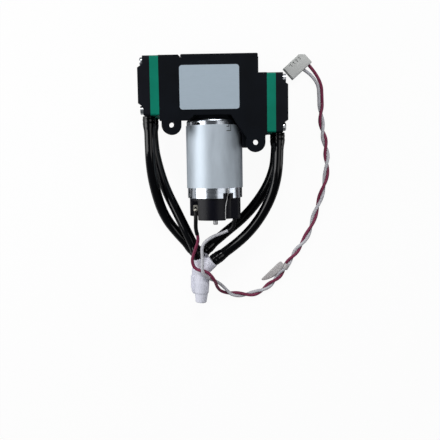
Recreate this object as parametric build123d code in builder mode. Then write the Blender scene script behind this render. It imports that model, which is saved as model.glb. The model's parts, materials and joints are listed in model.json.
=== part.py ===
from build123d import *
import os
from math import atan2, cos, degrees, pi, radians, sin, tan

os.makedirs("parts", exist_ok=True)

# Twin-head diaphragm vacuum pump, in millimetres. It lies on its back on z = 0.
# X runs from the left head to the right head, Y along the shaft away from the motor.
# The origin is on the back face, under the shaft, half way between the two rods.

# Heads: square in Y and Z, stepped along the shaft because their rods stand side by side
head_size = 38.0
head_step = 12.0
head_corner = 1.2
block_half = 34.7  # from the shaft axis to each diaphragm seat
valve_plate_t = 5.7
cover_t = 4.6
cover_rise = 3.3
rise_length = 22.6  # of the raised part of a cover, along Y
rise_slope = 2.3

# Crankcase moulding
front_t = 5.0  # front wall, which carries the ears
left_step = 13.9  # from the left head's face to the narrower part under the end cover
right_step = 5.4
cover_recess = 2.1  # end cover's seat below the top of the left head
motor_sink = 2.0  # motor's face below the underside of the left head
motor_wall_t = 3.2
front_drop = 3.5  # front wall's lower edge below the underside of the left head
window_drop = 0.3  # upper edge of the window over the motor
window_left = -12.4
window_right = 11.4
window_foot_inset = 3.7  # in from the right ear's hole
window_foot_drop = 6.3
gusset_drop = 8.8
gusset_t = 5.4
gusset_bite = 0.4  # how far the motor's clearance cuts into the gusset
moulding_r = 0.8
chamber_wall = 3.5  # between the crank chamber and the head's size
passage = (11.0, 18.0)  # rod passage, along Y and Z
bore_depth = 10.0
motor_seat_inset = 1.5

# Mounting ears
ear_inset = 7.5  # hole centre in from the diaphragm seat
ear_below = 6.35  # hole centre below the underside of its head
ear_r = 6.3
ear_hole_d = 3.4

# End cover over the crank chamber
end_cover_t = 2.4
end_cover_margin = 0.2
end_boss_r = 7.5
end_boss_l = 5.5
end_screw_inset = 4.2
end_screw_l = 9.0

# Rating label, left blank
label_size = (38.4, 28.1)
label_centre = (-2.2, 4.3)
label_corner = 1.9
label_t = 0.15

# M3 screws
m3_r = 1.5
pan_r = 2.8
pan_h = 2.1
csk_r = 2.8
csk_h = 1.3
cross_w = 0.7
cross_l = 3.0
cross_depth = 1.0
screw_inset = 3.5  # of the head screws, from the head's edge
screw_depth = 12.0  # into the crankcase
slip = 0.05  # radial play round screws, bushes and pressed rings

# Drive
throw = 1.3
shaft_d = 3.175
shaft_short = 1.9  # shaft end below the end cover's seat
shaft_stub = 4.2  # shaft end behind the motor's end cap
journal_d = 8.0
rod_side_gap = 1.1  # between a rod and the counterweight
counterweight_r = 11.5
hub_r = 6.2
rod_bearing = (16.0, 5.0)  # outer diameter and width
end_bearing = (9.525, 3.97)
ring_wall = 2.3
rod_web = 3.4
rod_flange_t = 2.0
rod_boss_r = 3.0
rod_boss_l = 8.0
running = 0.03  # radial running clearance

# Diaphragms and valves
rim_wall = 2.0  # of the head outside the diaphragm
rim_w = 3.0  # clamped rim of the diaphragm
rim_round = 0.4
diaphragm_t = 1.5
clamp_r = 8.0
clamp_t = 1.6
chamber_gap = 0.3  # over the clamp disc at top dead centre
valve_r = 3.6
valve_t = 0.6
valve_play = 0.5  # radial play of a valve in its pocket
valve_pocket_depth = 0.8
valve_stem_r = 0.8
valve_port_r = 0.6
valve_port_circle = 2.2
valve_ports = 6
gallery_margin = 1.3  # of a gallery outside the valve pocket
gallery_depth = 3.3
seal_margin = 0.6  # between a gallery and its seal
seal_w = 1.3
seal_t = 0.9
seal_web = 0.2  # half the web between the two seals

# Ports, hoses and Y-fittings
port_rise = 9.0  # port axes above and below the head's centre line
port_l = 7.4
port_bore_r = 1.3
barb_r = 2.0
barb_crest = 2.4
barb_count = 2
hose_d = 7.0
cuff_step = 0.65  # wall that a cuff adds
cuff_play = 0.1
cuff_l = 7.5
cuff_taper = 2.0
collar_step = 0.15  # of a fitting's collar outside the cuff
fitting_lift = 0.4  # of the lower fitting above the ground
fitting_gap = 0.2  # between the two fittings
left_arm = (6.0, 18.0)  # length of the collar and its angle from the trunk
right_arm = (8.0, 57.0)
trunk_l = 24.0
trunk_spigot_l = 8.0
trunk_spigot_r = 4.0
trunk_wide = 5.8
socket_r = 2.5
socket_l = 10.0
wye_bore_r = 1.4
inlet_spot = (-11.3, -118.0)
outlet_spot = (-16.3, -112.6)
outlet_wye_lean = 7.0

# Motor: lengths along the shaft, radii from the can's wall inwards
can_l = 52.5
can_t = 1.1
can_corner = 2.2
motor_boss_r = 6.5
motor_boss_h = 2.6
motor_screw_inset = 3.0  # screw centres in from the crank chamber's wall
sleeve_t = 0.475
sleeve_front = 4.4
sleeve_rear = 6.7
magnet_play = 0.3
magnet_t = 3.9
magnet_front = 9.0
magnet_rear = 13.5
magnet_gap = 9.0
air_gap = 0.7
core_front = 12.0
core_rear = 16.5
core_hub_r = 5.2
poles = 5
slot_lip = 1.5
slot_mouth = 1.6
end_turn = 4.0
commutator_r = 4.4
commutator_front = 10.0
commutator_l = 9.5
brush_t = 3.0
brush_h = 4.0
spring_room = 3.8  # between a brush and the wall of the cap's room
spring_inset = 1.0
cap_step = 1.2
cap_lip = 1.6
cap_l = 12.1
barrel_l = 14.7
block_l = 13.7  # of the cap's block over the right terminal
cap_wall = 4.1
cap_floor = 10.5
barrel_left_inset = 6.0
barrel_right_inset = 10.1
hood_rise = 13.6  # top of the block above the shaft axis
hood_inset = 1.1
hood_gap = 0.2
bush_r = 3.4
bush_l = 3.2
notch_x = (5.6, 12.2)
notch_depth = 3.4
cap_tab_w = 2.3
vent = (-9.9, 4.0, 1.45)  # across, behind the motor's face, and radius

# Terminals and leads
terminal_inset = 4.3
terminal_rise = 9.9
terminal_w = 3.2
terminal_t = 0.5
terminal_start = 4.5  # behind the can
terminal_l = 4.0
terminal_leg = 2.0
pocket_rise = 2.4
tail_w = 1.6
tail_l = 1.5
lead_d = 1.9
shrink_play = 0.05
shrink_t = 0.35
shrink_back = 1.1
flag_along = 46.0  # of the tape flag, from the start of the twisted stretch
flag_band_l = 5.0
flag_l = 22.0
flag_w = 4.4
flag_t = 0.3
lead_gap = 2.0  # between the two leads where they join their twisted stretch

# Six-way plug housing
plug_h = 5.75
plug_depth = 10.1
plug_centre = (58.3, 22.2)
plug_turn = 41.5
plug_pitch = 2.5
plug_ways = 6
plug_margin = 1.2
plug_entry_play = 0.1
plug_entry_depth = 3.0
plug_back_wall = 2.1
plug_window = (1.2, 2.2, 0.6)
plug_corner = 3.0

# Heads, from their size and step
half_head = head_size / 2
axis_z = half_head
left_y = head_step / 2
right_y = -head_step / 2
head_t = valve_plate_t + cover_t
front_z = head_size - front_t
screw_pitch = head_size - 2 * screw_inset
diaphragm_r = half_head - rim_wall
bore_r = diaphragm_r - rim_w
rim_inner_r = bore_r - rim_round
chamber_r = half_head - chamber_wall
floor_h = throw + clamp_t + chamber_gap  # chamber roof above the diaphragm seat
valve_pocket_r = valve_r + valve_play
gallery_r = valve_pocket_r + gallery_margin
seal_inner_r = gallery_r + seal_margin
seal_outer_r = seal_inner_r + seal_w
valve_offset = seal_outer_r + seal_web
port_h = valve_plate_t + cover_t / 2
port_x = block_half + port_h
sides = {"left": (-1, left_y, -throw), "right": (1, right_y, throw)}

# Crankcase, from the heads it carries
block_left = left_step - block_half
block_right = block_half - right_step
cover_seat_y = left_y + half_head - cover_recess
left_foot_y = left_y - half_head
right_foot_y = right_y - half_head
motor_face_y = left_foot_y - motor_sink
window_y = left_foot_y - window_drop
front_edge_y = left_foot_y - front_drop
ear_x = block_half - ear_inset
ear_drop = half_head + ear_below
gusset_inner_x = half_head - gusset_bite
gusset_outer_x = gusset_inner_x + gusset_t
gusset_foot_y = right_foot_y - gusset_drop
window_foot = (ear_x - window_foot_inset, right_foot_y - window_foot_drop)

# Drive train, from the two rods
rod_t = rod_bearing[1]
counterweight_t = head_step - rod_t - 2 * rod_side_gap
journal_l = rod_t + rod_side_gap + 0.1
shaft_r = shaft_d / 2
shaft_top_y = cover_seat_y - shaft_short

# Motor, as wide as the heads are deep
can_r = half_head - sleeve_t - slip / 2
can_inner = can_r - can_t
can_rear_y = motor_face_y - can_l
magnet_outer_r = can_inner - magnet_play
magnet_inner_r = magnet_outer_r - magnet_t
core_r = magnet_inner_r - air_gap
slot_r = (core_r - slot_lip - core_hub_r) / 2
slot_circle = core_hub_r + slot_r
motor_screw_pitch = 2 * (chamber_r - motor_screw_inset)
cap_r = can_r - cap_step
cap_room_r = cap_r - cap_wall
arm_x = cap_room_r - spring_room
cap_rear_y = can_rear_y - cap_l
cap_floor_y = can_rear_y - cap_floor
barrel_rear_y = can_rear_y - barrel_l
cap_block_y = can_rear_y - block_l
barrel_x = (barrel_left_inset - cap_r, cap_r - barrel_right_inset)
shaft_end_y = barrel_rear_y - shaft_stub
terminal_x = cap_r - terminal_inset
terminal_z = axis_z + terminal_rise
pocket_z = terminal_z - terminal_leg
terminal_y = (can_rear_y - terminal_start, can_rear_y - terminal_start - terminal_l)
tail_end_y = terminal_y[1] - tail_l

# Hoses, fittings and leads, from the barbs and the wire they hold
hose_bore_d = 2 * barb_r
cuff_d = hose_d + 2 * cuff_step
cuff_bore_d = 2 * (barb_crest + cuff_play)
collar_r = cuff_d / 2 + collar_step
outlet_wye = (*outlet_spot, collar_r + fitting_lift)
inlet_wye = (*inlet_spot, outlet_wye[2] + 2 * collar_r + fitting_gap)
pair_d = 2 * lead_d
shrink_r = (lead_d / 2 + shrink_play, lead_d / 2 + shrink_play + shrink_t)
plug_l = plug_ways * plug_pitch + 2 * plug_margin
plug_entry_r = lead_d / 2 + plug_entry_play


def head_plane(side, height=0.0):
    """Plane on a head, height outside its diaphragm seat: Z outwards and X along the shaft."""
    way, centre_y, _ = sides[side]
    origin = (way * (block_half + height), centre_y, axis_z)
    return Plane(origin=origin, x_dir=(0, 1, 0), z_dir=(way, 0, 0))


def radial_plane(side):
    """Plane through a head's axis: X along the shaft and Y outwards."""
    way, centre_y, _ = sides[side]
    origin = (way * block_half, centre_y, axis_z)
    return Plane(origin=origin, x_dir=(0, 1, 0), z_dir=(0, 0, -way))


def across(y):
    """Plane square to the shaft at y: X is X, its Y is Z, and it faces the motor's rear end."""
    return Plane.XZ.offset(-y)


def save(part, name):
    part.label = name
    export_step(part, f"parts/{name}.step")


# Crankcase: a front wall with two ears over a deep block, bored for the rods
def ear_centres():
    return [(-ear_x, left_y - ear_drop), (ear_x, right_y - ear_drop)]


def upper_outline():
    """The corners that the front wall and the block share, from the window over the top."""
    notch = 1.2
    return [
        (-block_half, left_y + axis_z),
        (block_left - notch, left_y + axis_z),
        (block_left, left_y + axis_z - notch),
        (block_left, cover_seat_y),
        (block_right, cover_seat_y),
        (block_right, right_y + axis_z),
        (block_half, right_y + axis_z),
    ]


with BuildPart() as crankcase:
    with BuildSketch(Plane.XY.offset(front_z)) as front_wall:
        with BuildLine():
            Polyline(
                *upper_outline(),
                (block_half, right_foot_y - 1.5),
                window_foot,
                (window_right, window_y),
                (window_left, window_y),
                (window_left - 3.7, front_edge_y),
                (-block_half, front_edge_y),
                close=True,
            )
        make_face()
        fillet(front_wall.vertices().group_by(Axis.Y)[0], moulding_r)
        for x, y in ear_centres():
            with Locations((x, y)):
                Circle(ear_r)
            outer = x + (ear_r / 2 if x > 0 else 0)
            width = ear_r if x > 0 else 2 * ear_r
            with Locations((outer, y + ear_drop / 4)):
                Rectangle(width, ear_drop / 2)
        with Locations(*ear_centres()):
            Circle(ear_hole_d / 2, mode=Mode.SUBTRACT)
    extrude(amount=front_t)
    with BuildSketch(Plane.XY) as block:
        with BuildLine():
            Polyline(
                *upper_outline(),
                (block_half, right_foot_y),
                (gusset_outer_x, right_foot_y),
                (gusset_outer_x, gusset_foot_y),
                (gusset_inner_x, gusset_foot_y),
                (gusset_inner_x, right_foot_y - 0.8),
                (window_right, window_y),
                (window_left, window_y),
                (-block_half, left_foot_y),
                close=True,
            )
        make_face()
    extrude(amount=front_z)
    with BuildSketch(across(window_y + 3)):
        with Locations((0, axis_z)):
            Circle(can_r - motor_seat_inset)
        with Locations((0, front_z / 2)):
            Rectangle(head_size, front_z, mode=Mode.INTERSECT)
    extrude(amount=window_y + 3 - motor_face_y)
    with BuildSketch(across(motor_face_y)):
        with Locations((0, axis_z)):
            Circle(half_head + 0.3)
    extrude(amount=head_size, mode=Mode.SUBTRACT)
    with BuildSketch(across(cover_seat_y)):
        with Locations((0, axis_z)):
            Circle(chamber_r)
    extrude(amount=cover_seat_y - motor_face_y - motor_wall_t, mode=Mode.SUBTRACT)
    with BuildSketch(across(motor_face_y + motor_wall_t)):
        with Locations((0, axis_z)):
            Circle(motor_boss_r + slip)
            with GridLocations(motor_screw_pitch, 0, 2, 1):
                Circle(m3_r + slip)
    extrude(amount=motor_wall_t, mode=Mode.SUBTRACT)
    with BuildSketch(across(cover_seat_y)):
        for x in (block_left + end_screw_inset, block_right - end_screw_inset):
            with Locations((x, axis_z)):
                with GridLocations(0, head_size - 2 * end_screw_inset, 1, 2):
                    Circle(m3_r + slip)
    extrude(amount=end_screw_l, mode=Mode.SUBTRACT)
    for side in sides:
        with BuildSketch(head_plane(side)):
            Circle(diaphragm_r + slip)
        extrude(amount=-diaphragm_t, mode=Mode.SUBTRACT)
        with BuildSketch(head_plane(side)):
            Circle(bore_r)
        extrude(amount=-bore_depth, mode=Mode.SUBTRACT)
        with BuildSketch(head_plane(side)):
            RectangleRounded(*passage, 2.0)
        extrude(amount=chamber_r * 0.78 - block_half, mode=Mode.SUBTRACT)
        with BuildSketch(head_plane(side)):
            with GridLocations(screw_pitch, screw_pitch, 2, 2):
                Circle(m3_r + slip)
        extrude(amount=-screw_depth - 0.5, mode=Mode.SUBTRACT)
save(crankcase.part, "crankcase")

# End cover with the outboard bearing in a boss, held by four countersunk screws
end_cover_y = cover_seat_y + end_cover_t
end_screws_x = (block_left + end_screw_inset, block_right - end_screw_inset)
end_mid_x = (block_left + block_right) / 2
bearing_seat_y = cover_seat_y - end_boss_l + end_bearing[1]


def end_screw_sketch(radius):
    """Circles at the four end cover screws, in the sketch of the plane across the shaft."""
    for x in end_screws_x:
        with Locations((x, axis_z)):
            with GridLocations(0, head_size - 2 * end_screw_inset, 1, 2):
                Circle(radius)


with BuildPart() as end_cover:
    with BuildSketch(across(end_cover_y)):
        with Locations((end_mid_x, axis_z)):
            RectangleRounded(block_right - block_left - 2 * end_cover_margin, head_size, head_corner)
    extrude(amount=end_cover_t)
    chamfer(end_cover.faces().sort_by(Axis.Y)[-1].edges(), 0.4)
    with BuildSketch(across(cover_seat_y)):
        with Locations((0, axis_z)):
            Circle(end_boss_r)
    extrude(amount=end_boss_l)
    with BuildSketch(across(bearing_seat_y)):
        with Locations((0, axis_z)):
            Circle(end_bearing[0] / 2 + slip / 2)
    extrude(amount=end_bearing[1], mode=Mode.SUBTRACT)
    with BuildSketch(across(bearing_seat_y + 1.0)):
        with Locations((0, axis_z)):
            Circle(end_bearing[0] / 2 - 1.4)
    extrude(amount=1.0, mode=Mode.SUBTRACT)
    with BuildSketch(across(end_cover_y)):
        end_screw_sketch(m3_r + slip)
    extrude(amount=end_cover_t, mode=Mode.SUBTRACT)
    with BuildSketch(across(end_cover_y)):
        end_screw_sketch(csk_r)
    extrude(amount=csk_h, taper=45, mode=Mode.SUBTRACT)
save(end_cover.part, "end_cover")

with BuildPart() as end_cover_screws:
    with BuildSketch(across(end_cover_y)):
        end_screw_sketch(csk_r - slip)
    extrude(amount=csk_h, taper=45)
    with BuildSketch(across(end_cover_y)):
        end_screw_sketch(m3_r)
    extrude(amount=end_screw_l)
    with BuildSketch(across(end_cover_y)):
        for x in end_screws_x:
            with Locations((x, axis_z)):
                with GridLocations(0, head_size - 2 * end_screw_inset, 1, 2):
                    Rectangle(cross_l, cross_w)
                    Rectangle(cross_w, cross_l)
    extrude(amount=cross_depth, mode=Mode.SUBTRACT)
save(end_cover_screws.part, "end_cover_screws")

with BuildPart() as end_ring:
    with BuildSketch(across(bearing_seat_y)):
        with Locations((0, axis_z)):
            Circle(end_bearing[0] / 2)
            Circle(shaft_r + running, mode=Mode.SUBTRACT)
    extrude(amount=end_bearing[1])
    with BuildSketch(across(bearing_seat_y - end_bearing[1] + 0.3)):
        with Locations((0, axis_z)):
            Circle(end_bearing[0] / 2 - 0.9)
            Circle(shaft_r + 0.8, mode=Mode.SUBTRACT)
    extrude(amount=0.3, mode=Mode.SUBTRACT)
save(end_ring.part, "outboard_bearing")

with BuildPart() as rating_label:
    with BuildSketch(Plane.XY.offset(head_size)):
        with Locations(label_centre):
            RectangleRounded(*label_size, label_corner)
    extrude(amount=label_t)
save(rating_label.part, "rating_label")

# Heads: the same parts on both sides, turned half a turn about Y
for side, (way, centre_y, lift) in sides.items():
    with BuildPart() as valve_plate:
        with BuildSketch(head_plane(side)):
            RectangleRounded(head_size, head_size, head_corner)
        extrude(amount=valve_plate_t)
        with BuildSketch(head_plane(side)):
            Circle(bore_r)
        extrude(amount=floor_h, taper=25, mode=Mode.SUBTRACT)
        with BuildSketch(head_plane(side, floor_h)):
            with Locations((0, valve_offset)):
                Circle(valve_pocket_r)
        extrude(amount=valve_pocket_depth, mode=Mode.SUBTRACT)
        with BuildSketch(head_plane(side, valve_plate_t)):
            with Locations((0, -valve_offset)):
                Circle(valve_pocket_r)
        extrude(amount=-valve_pocket_depth, mode=Mode.SUBTRACT)
        with BuildSketch(head_plane(side, floor_h)):
            for middle in (-valve_offset, valve_offset):
                with Locations((0, middle)):
                    Circle(valve_stem_r + slip)
                    with PolarLocations(valve_port_circle, valve_ports):
                        Circle(valve_port_r)
        extrude(amount=valve_plate_t - floor_h, mode=Mode.SUBTRACT)
        with BuildSketch(head_plane(side)):
            with GridLocations(screw_pitch, screw_pitch, 2, 2):
                Circle(m3_r + slip)
        extrude(amount=valve_plate_t, mode=Mode.SUBTRACT)
    save(valve_plate.part, f"valve_plate_{side}")

    with BuildPart() as inlet_valve:
        with BuildSketch(head_plane(side, floor_h + valve_pocket_depth)):
            with Locations((0, valve_offset)):
                Circle(valve_r)
        extrude(amount=-valve_t)
        with BuildSketch(head_plane(side, floor_h + valve_pocket_depth)):
            with Locations((0, valve_offset)):
                Circle(valve_stem_r)
        extrude(amount=valve_plate_t - floor_h - valve_pocket_depth + 0.9)
    save(inlet_valve.part, f"inlet_valve_{side}")

    with BuildPart() as outlet_valve:
        with BuildSketch(head_plane(side, valve_plate_t - valve_pocket_depth)):
            with Locations((0, -valve_offset)):
                Circle(valve_r)
        extrude(amount=valve_t)
        with BuildSketch(head_plane(side, floor_h)):
            with Locations((0, -valve_offset)):
                Circle(valve_stem_r)
        extrude(amount=valve_plate_t - valve_pocket_depth - floor_h)
    save(outlet_valve.part, f"outlet_valve_{side}")

    # Cover: full square plate, raised across its middle, with two hose barbs on its motor side
    top = head_t + cover_rise
    foot = rise_length / 2 + rise_slope
    with BuildPart() as head_cover:
        with BuildSketch(radial_plane(side).offset(-half_head)):
            with BuildLine():
                Polyline(
                    (-half_head, valve_plate_t),
                    (half_head, valve_plate_t),
                    (half_head, head_t),
                    (foot, head_t),
                    (rise_length / 2, top),
                    (-rise_length / 2, top),
                    (-foot, head_t),
                    (-half_head, head_t),
                    close=True,
                )
            make_face()
        extrude(amount=head_size)
        fillet(head_cover.edges().filter_by(Axis.X), head_corner)
        with BuildSketch(head_plane(side, valve_plate_t)):
            with GridLocations(0, 2 * valve_offset, 1, 2):
                Circle(gallery_r)
        extrude(amount=gallery_depth, mode=Mode.SUBTRACT)
        with BuildSketch(head_plane(side, valve_plate_t)):
            with GridLocations(0, 2 * valve_offset, 1, 2):
                Circle(seal_outer_r)
                Circle(seal_inner_r, mode=Mode.SUBTRACT)
        extrude(amount=seal_t, mode=Mode.SUBTRACT)
        with BuildSketch(head_plane(side, valve_plate_t)):
            with GridLocations(screw_pitch, screw_pitch, 2, 2):
                Circle(m3_r + slip)
        extrude(amount=cover_t, mode=Mode.SUBTRACT)
        with BuildSketch(head_plane(side, head_t)):
            with GridLocations(screw_pitch, screw_pitch, 2, 2):
                Circle(pan_r + 0.2)
        extrude(amount=cover_rise, mode=Mode.SUBTRACT)
        face_y = centre_y - half_head
        port_points = [(way * port_x, axis_z - port_rise), (way * port_x, axis_z + port_rise)]
        with BuildSketch(across(face_y)):
            with Locations(*port_points):
                Circle(barb_r)
        extrude(amount=port_l)
        crest_l = (port_l - 2.0) / barb_count
        for turn in range(barb_count):
            with BuildSketch(across(face_y - 2.0 - turn * crest_l)):
                with Locations(*port_points):
                    Circle(barb_crest)
            extrude(amount=crest_l, taper=degrees(atan2(barb_crest - barb_r + 0.1, crest_l)))
        with BuildSketch(across(face_y - port_l)):
            with Locations(*port_points):
                Circle(port_bore_r)
        extrude(amount=-port_l - half_head, mode=Mode.SUBTRACT)
    save(head_cover.part, f"head_cover_{side}")

    with BuildPart() as gallery_seals:
        with BuildSketch(head_plane(side, valve_plate_t)):
            with GridLocations(0, 2 * valve_offset, 1, 2):
                Circle(seal_outer_r - slip)
                Circle(seal_inner_r + slip, mode=Mode.SUBTRACT)
        extrude(amount=seal_t - slip)
    save(gallery_seals.part, f"gallery_seals_{side}")

    with BuildPart() as cover_screws:
        with BuildSketch(head_plane(side, head_t)):
            with GridLocations(screw_pitch, screw_pitch, 2, 2):
                Circle(pan_r)
        extrude(amount=pan_h)
        fillet(cover_screws.faces().sort_by(Axis.X)[-1 if way > 0 else 0].edges(), pan_h / 2)
        with BuildSketch(head_plane(side, head_t)):
            with GridLocations(screw_pitch, screw_pitch, 2, 2):
                Circle(m3_r)
        extrude(amount=-head_t - screw_depth)
        with BuildSketch(head_plane(side, head_t + pan_h)):
            with GridLocations(screw_pitch, screw_pitch, 2, 2):
                Rectangle(cross_l, cross_w)
                Rectangle(cross_w, cross_l)
        extrude(amount=-cross_depth, mode=Mode.SUBTRACT)
    save(cover_screws.part, f"cover_screws_{side}")

    # Diaphragm: clamped rim, cone and clamped middle, drawn at this end of the stroke
    with BuildPart() as diaphragm:
        with BuildSketch(radial_plane(side)):
            with BuildLine():
                Polyline(
                    (diaphragm_r, -diaphragm_t),
                    (diaphragm_r, 0),
                    (rim_inner_r, 0),
                    (clamp_r + 0.4, lift),
                    (m3_r + 0.1, lift),
                    (m3_r + 0.1, lift - diaphragm_t),
                    (clamp_r + 0.4, lift - diaphragm_t),
                    (rim_inner_r, -diaphragm_t),
                    close=True,
                )
            make_face()
        revolve(axis=Axis((way * block_half, centre_y, axis_z), (way, 0, 0)))
    save(diaphragm.part, f"diaphragm_{side}")

    with BuildPart() as clamp_disc:
        with BuildSketch(head_plane(side, lift)):
            Circle(clamp_r)
            Circle(m3_r + slip, mode=Mode.SUBTRACT)
        extrude(amount=clamp_t)
        with BuildSketch(head_plane(side, lift + clamp_t)):
            Circle(csk_r)
        extrude(amount=-csk_h, taper=45, mode=Mode.SUBTRACT)
        rim = clamp_disc.edges().filter_by(GeomType.CIRCLE).sort_by(SortBy.RADIUS)[-2:]
        fillet(rim, 0.4)
    save(clamp_disc.part, f"clamp_disc_{side}")

    with BuildPart() as clamp_screw:
        with BuildSketch(head_plane(side, lift + clamp_t)):
            Circle(csk_r - slip)
        extrude(amount=-csk_h, taper=45)
        with BuildSketch(head_plane(side, lift + clamp_t)):
            Circle(m3_r)
        extrude(amount=-clamp_t - diaphragm_t - rod_boss_l)
        with BuildSketch(head_plane(side, lift + clamp_t)):
            Rectangle(cross_l, cross_w)
            Rectangle(cross_w, cross_l)
        extrude(amount=-cross_depth, mode=Mode.SUBTRACT)
    save(clamp_screw.part, f"clamp_screw_{side}")

    # Connecting rod: ring round its bearing, tapered web and a flange under the diaphragm
    ring_r = rod_bearing[0] / 2 + ring_wall
    flange_h = lift - diaphragm_t
    flange_x = way * (block_half + flange_h)
    with BuildPart() as rod:
        with BuildSketch(across(centre_y + rod_t / 2)):
            with Locations((throw, axis_z)):
                Circle(ring_r)
            with BuildLine():
                Polyline(
                    (throw, axis_z + 2 * rod_web),
                    (flange_x, axis_z + rod_web),
                    (flange_x, axis_z - rod_web),
                    (throw, axis_z - 2 * rod_web),
                    close=True,
                )
            make_face()
        extrude(amount=rod_t)
        with BuildSketch(head_plane(side, flange_h)):
            Circle(clamp_r)
        extrude(amount=-rod_flange_t)
        with BuildSketch(head_plane(side, flange_h)):
            Circle(rod_boss_r)
        extrude(amount=-rod_boss_l)
        with BuildSketch(across(centre_y + rod_t / 2)):
            with Locations((throw, axis_z)):
                Circle(rod_bearing[0] / 2 + slip / 2)
        extrude(amount=rod_t, mode=Mode.SUBTRACT)
        with BuildSketch(head_plane(side, flange_h)):
            Circle(m3_r + slip)
        extrude(amount=-rod_boss_l - 0.5, mode=Mode.SUBTRACT)
    save(rod.part, f"connecting_rod_{side}")

    with BuildPart() as rod_ring:
        with BuildSketch(across(centre_y + rod_t / 2)):
            with Locations((throw, axis_z)):
                Circle(rod_bearing[0] / 2)
                Circle(journal_d / 2 + running, mode=Mode.SUBTRACT)
        extrude(amount=rod_t)
        for face in (centre_y + rod_t / 2, centre_y - rod_t / 2 + 0.3):
            with BuildSketch(across(face)):
                with Locations((throw, axis_z)):
                    Circle(rod_bearing[0] / 2 - 1.2)
                    Circle(journal_d / 2 + 1.2, mode=Mode.SUBTRACT)
            extrude(amount=0.3, mode=Mode.SUBTRACT)
    save(rod_ring.part, f"rod_bearing_{side}")

# Shaft train
with BuildPart() as shaft:
    with BuildSketch(across(shaft_top_y)):
        with Locations((0, axis_z)):
            Circle(shaft_r)
    extrude(amount=shaft_top_y - shaft_end_y)
    chamfer(shaft.edges().filter_by(GeomType.CIRCLE), 0.3)
save(shaft.part, "motor_shaft")

with BuildPart() as eccentric:
    with BuildSketch(across(counterweight_t / 2)):
        with Locations((0, axis_z)):
            Circle(counterweight_r)
        with Locations((-counterweight_r / 2 - 1.5, axis_z)):
            Rectangle(counterweight_r, 2 * counterweight_r, mode=Mode.INTERSECT)
        with Locations((0, axis_z)):
            Circle(hub_r)
    extrude(amount=counterweight_t)
    with BuildSketch(across(counterweight_t / 2 + journal_l)):
        with Locations((throw, axis_z)):
            Circle(journal_d / 2)
    extrude(amount=counterweight_t + 2 * journal_l)
    with BuildSketch(across(counterweight_t / 2 + journal_l)):
        with Locations((0, axis_z)):
            Circle(shaft_r + slip / 2)
    extrude(amount=counterweight_t + 2 * journal_l, mode=Mode.SUBTRACT)
    with BuildSketch(Plane.YZ.offset(-counterweight_r - 1)):
        with Locations((0, axis_z)):
            Circle(m3_r + slip)
    extrude(amount=counterweight_r + 1 - shaft_r, mode=Mode.SUBTRACT)
save(eccentric.part, "eccentric")

with BuildPart() as grub_screw:
    with BuildSketch(Plane.YZ.offset(-shaft_r - 0.05)):
        with Locations((0, axis_z)):
            Circle(m3_r)
    extrude(amount=-4.0)
    with BuildSketch(Plane.YZ.offset(-shaft_r - 4.05)):
        with Locations((0, axis_z)):
            RegularPolygon(0.8, 6)
    extrude(amount=1.5, mode=Mode.SUBTRACT)
save(grub_screw.part, "eccentric_grub_screw")


def slot_sketch(radius, mouth):
    """The rotor's winding slots, or what lies in them, in a sketch across the shaft."""
    with Locations((0, axis_z)):
        with PolarLocations(slot_circle, poles):
            Circle(radius)
            if mouth:
                with Locations((slot_circle / 2, 0)):
                    Rectangle(slot_circle, slot_mouth)


core_front_y = motor_face_y - core_front
core_rear_y = can_rear_y + core_rear
commutator_y = can_rear_y + commutator_front
with BuildPart() as rotor_core:
    with BuildSketch(across(core_front_y)):
        with Locations((0, axis_z)):
            Circle(core_r)
    extrude(amount=core_front_y - core_rear_y)
    with BuildSketch(across(core_front_y)):
        slot_sketch(slot_r, True)
        with Locations((0, axis_z)):
            Circle(shaft_r + slip / 2)
    extrude(amount=core_front_y - core_rear_y, mode=Mode.SUBTRACT)
save(rotor_core.part, "rotor_core")

with BuildPart() as windings:
    with BuildSketch(across(core_front_y)):
        slot_sketch(slot_r - 0.15, False)
    extrude(amount=core_front_y - core_rear_y)
    for start in (core_front_y + end_turn, core_rear_y):
        with BuildSketch(across(start)):
            with Locations((0, axis_z)):
                Circle(slot_circle + slot_r - 0.3)
                Circle(commutator_r - 0.4, mode=Mode.SUBTRACT)
        extrude(amount=end_turn)
save(windings.part, "windings")

with BuildPart() as commutator:
    with BuildSketch(across(commutator_y)):
        with Locations((0, axis_z)):
            Circle(commutator_r)
            Circle(shaft_r + slip / 2, mode=Mode.SUBTRACT)
            with PolarLocations(commutator_r, poles):
                Rectangle(1.4, 0.4, mode=Mode.SUBTRACT)
    extrude(amount=commutator_l)
save(commutator.part, "commutator")

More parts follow.
